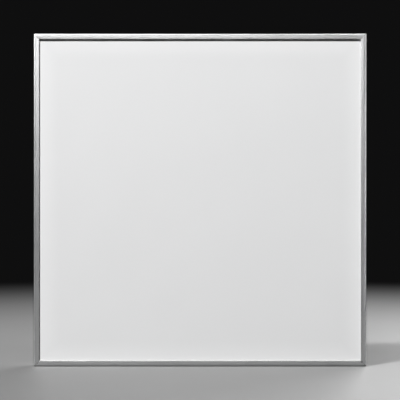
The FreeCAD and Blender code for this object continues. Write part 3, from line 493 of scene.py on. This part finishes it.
# ---------------------------------------------------------------- the sandwich
def opal_acrylic(name):
    """Matt opal sheet, with painted light: a paler band along its edges, as if light leaked out
    there.
    """
    surface = Surface(name, (0.860, 0.862, 0.866), 0.46)
    # Painted light: the sheet is paler within about 50 mm of the rails, a glow along its edges.
    surface.tint(surface.ramp(surface.frame_place()["u"], 0.050, 0.012), (0.915, 0.917, 0.920))
    surface.mottle(0.16, 0.010)
    surface.mottle(3 * MM, 0.008, detail=4.0)
    surface.smudge(0.05, 0.54, detail=5.0)
    surface.grain(0.6 * MM, 0.003 * MM)
    return surface


def diffusing_film(name):
    surface = Surface(name, (0.90, 0.90, 0.91), 0.55)
    surface.mottle(0.08, 0.03)
    surface.smudge(0.04, 0.65)
    surface.grain(0.2 * MM, 0.01 * MM)
    return surface


def clear_acrylic(name):
    """Light guide: clear, with a lattice of white dots that lets the light out."""
    surface = Surface(name, (0.92, 0.95, 0.95), 0.06, IOR=1.49)
    surface.shader.inputs["Transmission Weight"].default_value = 0.8
    dots = surface.ramp(surface.cells(2 * MM, randomness=0.0).outputs["Distance"], 0.30, 0.24)
    surface.tint(dots, (0.93, 0.93, 0.92))
    surface.change("Roughness", dots, 0.60)
    surface.smudge(0.05, 0.12)
    surface.relief(dots, 0.01 * MM)
    return surface


def white_reflector(name):
    surface = Surface(name, (0.93, 0.93, 0.94), 0.34)
    surface.mottle(0.07, 0.03)
    surface.smudge(0.03, 0.46)
    surface.grain(0.8 * MM, 0.01 * MM)
    return surface


def foam(name):
    """Fine closed-cell foam."""
    surface = Surface(name, (0.10, 0.10, 0.105), 0.90)
    walls = surface.ramp(surface.cells(0.8 * MM, "DISTANCE_TO_EDGE").outputs["Distance"], 0.0, 0.25)
    surface.shade(walls, 0.45)
    surface.mottle(0.02, 0.15)
    surface.relief(walls, 0.12 * MM)
    return surface


def thermal_tape(name):
    """White tape on a glass-fibre weave."""
    surface = Surface(name, (0.74, 0.75, 0.76), 0.50)
    weave = surface.cells(0.7 * MM, randomness=0.0).outputs["Distance"]
    surface.shade(weave, 0.12)
    surface.mottle(8 * MM, 0.06)
    surface.relief(weave, 0.03 * MM)
    return surface


def white_circuit_board(name):
    """LED board: white solder mask over two copper tracks that run its whole length."""
    track_half, edge = 0.9 * MM, 0.1 * MM
    surface = Surface(name, (0.84, 0.85, 0.85), 0.28)
    depth = surface.frame_place()["v"]
    tracks = [near(surface, depth, middle, track_half, edge) for middle in (7.0 * MM, 11.2 * MM)]
    tracks = surface.math("MAXIMUM", *tracks)
    surface.tint(tracks, (0.86, 0.83, 0.76))
    surface.mottle(4 * MM, 0.05)
    surface.smudge(6 * MM, 0.38)
    surface.relief(tracks, 0.035 * MM)
    return surface


def led_package(name):
    """White case, and yellow phosphor in the face that looks at the light guide."""
    surface = Surface(name, (0.82, 0.82, 0.80), 0.38)
    normal = surface.axes(surface.node("ShaderNodeTexCoord").outputs["Normal"])
    inward = surface.either(surface.frame_place()["beside"], normal[2], normal[0])
    phosphor = surface.ramp(surface.math("ABSOLUTE", inward), 0.5, 0.9)
    surface.tint(phosphor, (0.86, 0.70, 0.16))
    surface.mottle(0.5 * MM, 0.10)
    surface.change("Roughness", phosphor, 0.22)
    surface.grain(0.3 * MM, 0.01 * MM)
    return surface


# ---------------------------------------------------------------- plastics and rubber
def moulded(name, colour, roughness, texture):
    """Injection moulding with a spark-eroded texture of a size, and handling marks."""
    surface = Surface(name, colour, roughness)
    surface.mottle(0.02, 0.12, detail=4.0)
    surface.smudge(0.012, roughness + 0.12, detail=5.0)
    surface.settle_dust(0.12)
    surface.grain(texture, texture * 0.05)
    return surface


def black_plastic(name):
    """Mouldings. A white wedge runs round the dimmer wheel's rim: turned up, more of it shows."""
    narrow, wide, groove, soft = 0.12 * MM, 1.30 * MM, 0.25 * MM, 0.05 * MM
    seen_each_way = math.radians(47)  # of the rim, in front of the control panel
    surface = moulded(name, (0.022, 0.022, 0.024), 0.42, texture=0.4 * MM)
    x, y, z = surface.axes(surface.position())
    out, up = surface.math("SUBTRACT", x, WHEEL.x), surface.math("SUBTRACT", z, WHEEL.z)
    on_rim = near(surface, surface.length(out, up), WHEEL_R, groove - soft, soft)
    angle = surface.math("SUBTRACT", seen_each_way, surface.math("ARCTAN2", up, out))
    turned = surface.math("FRACT", surface.math("DIVIDE", angle, 2 * math.pi))
    away = surface.math("ABSOLUTE", surface.math("SUBTRACT", y, CONTROL_Y))
    inside = surface.math("SUBTRACT", surface.either(turned, narrow, wide), away)
    printed = surface.math("MULTIPLY", on_rim, surface.ramp(inside, -soft, soft))
    surface.tint(printed, PRINT_WHITE)
    surface.change("Roughness", printed, 0.50)
    return surface


def white_nylon(name):
    return moulded(name, (0.80, 0.79, 0.74), 0.38, texture=0.8 * MM)


def component_black(name):
    return moulded(name, (0.030, 0.030, 0.032), 0.34, texture=0.6 * MM)


def gloss_black_plastic(name):
    """The rocker: glossy, with a white ring for off on its lower half and a bar for on above."""
    mark_out, ring_r, bar_half = 4.3 * MM, 1.5 * MM, 1.6 * MM
    line_half, soft = 0.22 * MM, 0.08 * MM
    surface = Surface(name, (0.012, 0.012, 0.013), 0.15)
    _, y, z = surface.axes(surface.position())
    across = surface.math("SUBTRACT", y, CONTROL_Y)
    below = surface.math("SUBTRACT", z, SWITCH_Z - mark_out)
    ring = near(surface, surface.length(across, below), ring_r, line_half, soft)
    bar_across = near(surface, across, 0.0, line_half, soft)
    bar_along = near(surface, z, SWITCH_Z + mark_out, bar_half, soft)
    printed = surface.math("MAXIMUM", ring, surface.math("MULTIPLY", bar_across, bar_along))
    surface.tint(printed, PRINT_WHITE)
    surface.mottle(6 * MM, 0.20)
    surface.smudge(4 * MM, 0.30, detail=5.0)
    surface.change("Roughness", printed, 0.45)
    surface.grain(3 * MM, 0.006 * MM)
    return surface


def black_rubber(name):
    surface = Surface(name, (0.020, 0.020, 0.021), 0.72)
    surface.mottle(5 * MM, 0.20, detail=5.0)
    surface.tint(surface.noise(7 * MM, detail=6.0), (0.055, 0.053, 0.050))
    surface.smudge(3 * MM, 0.88)
    surface.grain(0.5 * MM, 0.03 * MM)
    return surface


def insulation(name, colour):
    """Extruded PVC, faintly uneven along its length."""
    surface = Surface(name, colour, 0.36)
    surface.mottle(5 * MM, 0.12)
    surface.smudge(8 * MM, 0.50)
    surface.grain(2 * MM, 0.03 * MM)
    return surface


# ---------------------------------------------------------------- electronics
def green_circuit_board(name):
    """Glass-epoxy board: green mask over copper areas, and tinned pads."""
    surface = Surface(name, (0.010, 0.085, 0.035), 0.26)
    gaps = surface.cells(6 * MM, "DISTANCE_TO_EDGE", randomness=0.7).outputs["Distance"]
    copper = surface.ramp(gaps, 0.06, 0.09)
    surface.tint(copper, (0.020, 0.150, 0.055))
    pads = surface.ramp(surface.cells(2.54 * MM, randomness=0.15).outputs["Distance"], 0.26, 0.20)
    chosen = surface.ramp(surface.noise(12 * MM, detail=1.0), 0.55, 0.60)
    pads = surface.math("MULTIPLY", pads, chosen)
    surface.tint(pads, (0.72, 0.72, 0.70))
    surface.change("Metallic", pads, 1.0)
    surface.mottle(9 * MM, 0.10)
    surface.smudge(5 * MM, 0.36)
    surface.relief(surface.math("MAXIMUM", copper, pads), 0.035 * MM)
    return surface


def ferrite(name):
    surface = Surface(name, (0.055, 0.055, 0.058), 0.48)
    surface.mottle(4 * MM, 0.25, detail=5.0)
    surface.smudge(2 * MM, 0.62, detail=4.0)
    surface.grain(0.4 * MM, 0.03 * MM)
    return surface


def fuse_glass(name):
    """Glass tube between two nickel caps."""
    low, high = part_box("driver_fuse")
    middle, half_glass = (low.x + high.x) / 2, (high.x - low.x) * 0.27
    surface = Surface(name, (0.88, 0.91, 0.90), 0.05, IOR=1.5)
    surface.shader.inputs["Transmission Weight"].default_value = 0.9
    x = surface.axes(surface.position())[0]
    glass = near(surface, x, middle, half_glass, 0.1 * MM)
    caps = surface.math("SUBTRACT", 1.0, glass)
    surface.tint(caps, (0.74, 0.70, 0.62))
    surface.change("Transmission Weight", caps, 0.0)
    surface.change("Metallic", caps, 1.0)
    surface.mottle(2 * MM, 0.08)
    surface.change("Roughness", caps, 0.28)
    surface.grain(1 * MM, 0.004 * MM)
    return surface


INSULATION = {
    "brown_insulation": (0.130, 0.050, 0.022),
    "blue_insulation": (0.018, 0.085, 0.380),
    "red_insulation": (0.420, 0.018, 0.014),
    "black_insulation": (0.016, 0.016, 0.017),
    "white_insulation": (0.740, 0.740, 0.720),
}
RECIPES = (
    anodised_aluminium,
    die_cast_zinc,
    mill_aluminium,
    galvanised_steel,
    zinc_plated_steel,
    nickel_plated_brass,
    component_aluminium,
    powder_coated_steel,
    opal_acrylic,
    diffusing_film,
    clear_acrylic,
    white_reflector,
    foam,
    thermal_tape,
    white_circuit_board,
    led_package,
    black_plastic,
    white_nylon,
    component_black,
    gloss_black_plastic,
    black_rubber,
    green_circuit_board,
    ferrite,
    fuse_glass,
)


def make_materials():
    """A material for every material slot of the record, by the slot's name."""
    materials = {recipe.__name__: recipe(recipe.__name__).material for recipe in RECIPES}
    for name, colour in INSULATION.items():
        materials[name] = insulation(name, colour).material
    return materials


# ================================================================ meshes
def shade_smooth(piece, sharp_degrees=30):
    """Shades smooth, except over sharp edges."""
    for polygon in piece.data.polygons:
        polygon.use_smooth = True
    piece.data.set_sharp_from_angle(angle=math.radians(sharp_degrees))


def mesh_object(name, bm, material):
    bmesh.ops.recalc_face_normals(bm, faces=bm.faces)
    mesh = bpy.data.meshes.new(name)
    bm.to_mesh(mesh)
    bm.free()
    mesh.materials.append(material)
    made = bpy.data.objects.new(name, mesh)
    bpy.context.scene.collection.objects.link(made)
    shade_smooth(made)
    return made


def carve(piece, cutter):
    """Takes the cutter's volumes out of a piece."""
    tool = mesh_object("cutter", cutter, piece.data.materials[0])
    modifier = piece.modifiers.new("carve", "BOOLEAN")
    modifier.operation = "DIFFERENCE"
    modifier.solver = "EXACT"
    modifier.object = tool
    bpy.context.view_layer.update()
    carved = piece.evaluated_get(bpy.context.evaluated_depsgraph_get())
    piece.data = bpy.data.meshes.new_from_object(carved)
    piece.modifiers.clear()
    bpy.data.objects.remove(tool)
    shade_smooth(piece)


def skin(bm, rings, closed=False):
    """Joins each ring of points to the next, and if closed, the last to the first.

    Returns the rings' vertices.
    """
    made = [[bm.verts.new(point) for point in ring] for ring in rings]
    for ring, following in zip(made, made[1:] + (made[:1] if closed else [])):
        for i, vertex in enumerate(ring):
            j = (i + 1) % len(ring)
            bm.faces.new((vertex, ring[j], following[j], following[i]))
    return made


def spin(bm, profile, origin, along, across, steps=48, closed=False):
    """Lathes a profile of (radius, distance) about a line. A radius may depend on the angle."""
    upright = along.cross(across)
    rings = []
    for radius, distance in profile:
        ring = []
        for i in range(steps):
            angle = 2 * math.pi * i / steps
            reach = radius(angle) if callable(radius) else radius
            outwards = across * math.cos(angle) + upright * math.sin(angle)
            ring.append(origin + along * distance + outwards * reach)
        rings.append(ring)
    made = skin(bm, rings, closed)
    if not closed:
        bm.faces.new(made[0])
        bm.faces.new(made[-1])


def rounded_box(bm, low, high, radius):
    """Box between two corners, with its edges along X rounded."""
    arc_steps = 8
    quarters = ((high.y - radius, high.z - radius), (low.y + radius, high.z - radius))
    quarters += ((low.y + radius, low.z + radius), (high.y - radius, low.z + radius))
    loop = []
    for i, centre in enumerate(quarters):
        loop += arc(Vector(centre), radius, 90 * i, 90 * (i + 1), arc_steps)
    made = skin(bm, [[Vector((x, y, z)) for y, z in loop] for x in (low.x, high.x)])
    bm.faces.new(made[0])
    bm.faces.new(made[-1])


def arc(centre, radius, start, end, steps):
    """Points from one angle to another, in degrees, both included."""
    points = []
    for i in range(steps + 1):
        angle = math.radians(start + (end - start) * i / steps)
        points.append(centre + radius * Vector((math.cos(angle), math.sin(angle))))
    return points


def neighbours(loop):
    """Each point of a closed loop, between the one before it and the one after it."""
    return zip(loop[-1:] + loop[:-1], loop, loop[1:] + loop[:1])


def eased(loop):
    """Takes a tiny chamfer off each sharp outward corner of an anticlockwise loop."""
    sharp = math.radians(60)
    points = []
    for before, here, after in neighbours(loop):
        back, on = (before - here).normalized(), (after - here).normalized()
        outwards = on.cross(back) > 0
        if outwards and (-back).angle(on) > sharp:
            points += [here + back * ARRIS, here + on * ARRIS]
        else:
            points.append(here)
    return points


def inset(loop, distance):
    """Moves every side of a closed loop to its left by a distance."""
    points = []
    for before, here, after in neighbours(loop):
        back, on = (here - before).normalized(), (after - here).normalized()
        left = Vector((-on.y, on.x))
        bisector = (left + Vector((-back.y, back.x))).normalized()
        points.append(here + bisector * (distance / bisector.dot(left)))
    return points


def stand_for(piece, node, body):
    """Lets a finished piece take a CAD node's place."""
    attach(piece, body)
    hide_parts(node)


# ================================================================ rails
def rail_loops():
    """The rail's outer loop and its chamber's, as (u, v), each with the metal on its left."""

    def crown(u):
        return CROWN_R - math.sqrt(CROWN_R**2 - (u - LINE_END) ** 2)

    crown_end, chamber_end = LIP - LIP_EDGE_R, CHAMBER_U + CHAMBER_WALL
    crown_steps, edge_steps, lip_edge_steps = 12, 12, 5
    crown_turns_to = 275  # degrees, where the crowned face meets the lip's edge
    points = [Vector((0, RAIL_DEPTH))]
    points += arc(Vector((EDGE_R, EDGE_R)), EDGE_R, 180, 270, edge_steps)
    points += [Vector((LINE_U, 0)), Vector((LINE_U + LINE_WIDTH / 2, LINE_DEPTH))]
    for i in range(crown_steps + 1):
        u = LINE_END + (crown_end - LINE_END) * i / crown_steps
        points.append(Vector((u, crown(u))))
    lip_edge = Vector((crown_end, crown(crown_end) + LIP_EDGE_R))
    points += arc(lip_edge, LIP_EDGE_R, crown_turns_to, 360, lip_edge_steps)
    corners = [
        (LIP, LIP_REAR),
        (WALL, LIP_REAR),
        (WALL, SLOT_REAR),
        (chamber_end, SLOT_REAR),
        (chamber_end, CHAMBER_V1),
        (FLANGE_U, CHAMBER_V1),
        (FLANGE_U, FLANGE_REAR),
        (WALL, FLANGE_REAR),
        (WALL, RAIL_DEPTH),
    ]
    points += [Vector(corner) for corner in corners]
    chamber = [(WALL, CHAMBER_V0), (WALL, CHAMBER_V1)]
    chamber += [(CHAMBER_U, CHAMBER_V1), (CHAMBER_U, CHAMBER_V0)]
    return eased(points), [Vector(corner) for corner in chamber]


def rail_mesh():
    """The bottom rail, with mitred and eased ends."""
    stations = [(0, ARRIS), (ARRIS, 0)]  # distance from the end, and the outline's inset there
    stations += [(distance, 0) for distance in (1.5 * MM, 12 * MM, 60 * MM)]
    reach = HALF - MITRE_GAP * math.sqrt(2)
    ends = [(-1, *station) for station in stations]
    ends += [(1, *station) for station in reversed(stations)]
    bm = bmesh.new()
    caps = [[], []]
    for loop in rail_loops():
        rings = []
        for side, from_end, inset_by in ends:
            ring = []
            for u, v in inset(loop, inset_by):
                ring.append(Vector((side * (reach - u - from_end), FRONT_Y + v, u)))
            rings.append(ring)
        made = skin(bm, rings)
        for cap, ring in zip(caps, (made[0], made[-1])):
            cap += [bm.edges.get((ring[i - 1], ring[i])) for i in range(len(ring))]
    for cap in caps:
        bmesh.ops.triangle_fill(bm, use_beauty=True, edges=cap)
    return bm


def rail_holes():
    """Cutters for the bottom rail's grub-screw holes and cover-screw holes."""
    bm = bmesh.new()
    grub_hole = [(GRUB_HOLE_R, 0), (GRUB_HOLE_R, CHAMBER_WALL + 2 * OVER)]
    for x in (GRUB_AT - HALF, HALF - GRUB_AT):
        start = Vector((x, CONTROL_Y, CHAMBER_U - OVER))
        spin(bm, grub_hole, start, UPWARDS, RIGHTWARDS)
    depth = FLANGE_REAR - CHAMBER_V1 + 2 * OVER
    screw_hole = [(COVER_SCREW_HOLE_R, 0), (COVER_SCREW_HOLE_R, depth)]
    for x in COVER_SCREWS_ALONG:
        start = Vector((x, FRONT_Y + CHAMBER_V1 - OVER, COVER_SCREW_U))
        spin(bm, screw_hole, start, BACKWARDS, RIGHTWARDS)
    return bm


def cut_control_openings(bm):
    """Adds the right rail's cutters: outer and inner window, wires' slot and two countersinks."""
    chamber_end, past, corner_r = CHAMBER_U + CHAMBER_WALL, 0.02 * MM, 0.3 * MM
    chamber_y0, chamber_y1 = FRONT_Y + CHAMBER_V0 - past, FRONT_Y + CHAMBER_V1 + past
    window_low = Vector((HALF - WALL - OVER, CONTROL_Y - WINDOW_HALF, WINDOW_Z0))
    window_high = Vector((HALF + OVER, CONTROL_Y + WINDOW_HALF, WINDOW_Z1))
    rounded_box(bm, window_low, window_high, WINDOW_R)
    inner_low = Vector((HALF - chamber_end - OVER, chamber_y0, WINDOW_Z0))
    inner_high = Vector((HALF - CHAMBER_U + OVER / 2, chamber_y1, FEED_Z + 1.5 * FEED_HALF))
    rounded_box(bm, inner_low, inner_high, corner_r)
    feed_low = Vector((HALF - FEED_U[1], FRONT_Y + SLOT_REAR - OVER, FEED_Z - FEED_HALF))
    feed_high = Vector((HALF - FEED_U[0], FRONT_Y + CHAMBER_V0 + OVER, FEED_Z + FEED_HALF))
    rounded_box(bm, feed_low, feed_high, corner_r)
    sink = [(COUNTERSINK_R, -OVER), (COUNTERSINK_R, 0), (PANEL_SCREW_HOLE_R, COUNTERSINK)]
    sink.append((PANEL_SCREW_HOLE_R, WALL + OVER))
    for z in (WINDOW_Z0 - PANEL_SCREW_PAST, WINDOW_Z1 + PANEL_SCREW_PAST):
        spin(bm, sink, Vector((HALF, CONTROL_Y, z)), -RIGHTWARDS, BACKWARDS)


def make_rails(materials):
    for side, degrees in (("bottom", 0), ("left", 90), ("top", 180), ("right", 270)):
        rail, holes = rail_mesh(), rail_holes()
        turn = Matrix.Rotation(math.radians(degrees), 3, "Y")
        for bm in (rail, holes):
            bmesh.ops.rotate(bm, cent=Vector((0, 0, HALF)), matrix=turn, verts=bm.verts)
        if side == "right":
            cut_control_openings(holes)
        piece = mesh_object(f"rail_{side}", rail, materials["anodised_aluminium"])
        carve(piece, holes)
        stand_for(piece, f"frame_rail_{side}", "housing")


# ================================================================ feet and dimmer wheel
def make_feet(materials):
    """Four moulded feet. Each has three rings in its tip, and a bore for its screw's head."""
    height, ease = feet_high.y - feet_low.y, 0.15 * MM
    profile = [(FOOT_HOLE_R, 0), (FOOT_R - ease, 0), (FOOT_R - ease, ease)]
    tip = Vector((FOOT_TIP_R - FOOT_EDGE_R / 2, height - FOOT_EDGE_R))
    profile += [tuple(point) for point in arc(tip, FOOT_EDGE_R, 10, 90, 6)]
    for groove_r in reversed(FOOT_GROOVES):
        for across, deep in ((1, 0), (0.5, 1), (-0.5, 1), (-1, 0)):
            profile.append((groove_r + across * FOOT_GROOVE_HALF, height - deep * FOOT_GROOVE))
    profile += [(FOOT_BORE_R + 2 * ease, height), (FOOT_BORE_R, height - 2 * ease)]
    profile += [(FOOT_BORE_R, FOOT_FLOOR), (FOOT_HOLE_R, FOOT_FLOOR)]
    bm = bmesh.new()
    for x in (feet_low.x + FOOT_R, feet_high.x - FOOT_R):
        for z in (feet_low.z + FOOT_R, feet_high.z - FOOT_R):
            base = Vector((x, feet_low.y, z))
            spin(bm, profile, base, BACKWARDS, RIGHTWARDS, steps=64, closed=True)
    feet = mesh_object("moulded_feet", bm, materials["black_rubber"])
    stand_for(feet, "rubber_feet", "housing")


def knurled(radius):
    """A wheel's outline at a radius: round, with a small hollow at each knurl."""
    pitch = 2 * math.pi / KNURLS

    def reach(angle):
        from_knurl = abs((angle + pitch / 2) % pitch - pitch / 2) * WHEEL_R
        return radius - math.sqrt(max(0.0, KNURL_R**2 - from_knurl**2))

    return reach


def make_dimmer_wheel(materials):
    """Knurled wheel with a dished rear face and its shaft."""
    fillet, ease, length = 0.25 * MM, 0.15 * MM, wheel_high.y - wheel_low.y
    steps_per_knurl = 14
    rim, narrow = knurled(WHEEL_R), knurled(WHEEL_R - WHEEL_CHAMFER)
    profile = [
        (WHEEL_HOLE_R, DISH + WHEEL_HOLE),
        (WHEEL_HOLE_R, DISH),
        (DISH_R - fillet, DISH),
        (DISH_R, DISH - fillet),
        (DISH_R, ease),
        (DISH_R + ease, 0),
        (narrow, 0),
        (rim, WHEEL_CHAMFER),
        (rim, WHEEL_THICK - WHEEL_CHAMFER),
        (narrow, WHEEL_THICK),
        (SHAFT_R + fillet, WHEEL_THICK),
        (SHAFT_R, WHEEL_THICK + fillet),
        (SHAFT_R, length - ease),
        (SHAFT_R - ease, length),
    ]
    bm = bmesh.new()
    rear = Vector((WHEEL.x, wheel_high.y, WHEEL.z))
    spin(bm, profile, rear, -BACKWARDS, RIGHTWARDS, steps=KNURLS * steps_per_knurl)
    wheel = mesh_object("knurled_wheel", bm, materials["black_plastic"])
    stand_for(wheel, "dimmer_wheel", "dimmer")


# ================================================================ build
def finish_nodes(materials):
    """Gives every CAD node the material of its slot."""
    for row in frame["record"]["subparts"]:
        node = NODES[row["node"]]
        node.data.materials.clear()
        node.data.materials.append(materials[row["material_slot"]])


def main():
    bpy.context.scene.view_settings.view_transform = "Standard"
    add_camera()
    add_lights()
    add_world()
    add_floor()
    materials = make_materials()
    finish_nodes(materials)
    make_rails(materials)
    make_feet(materials)
    make_dimmer_wheel(materials)


main()
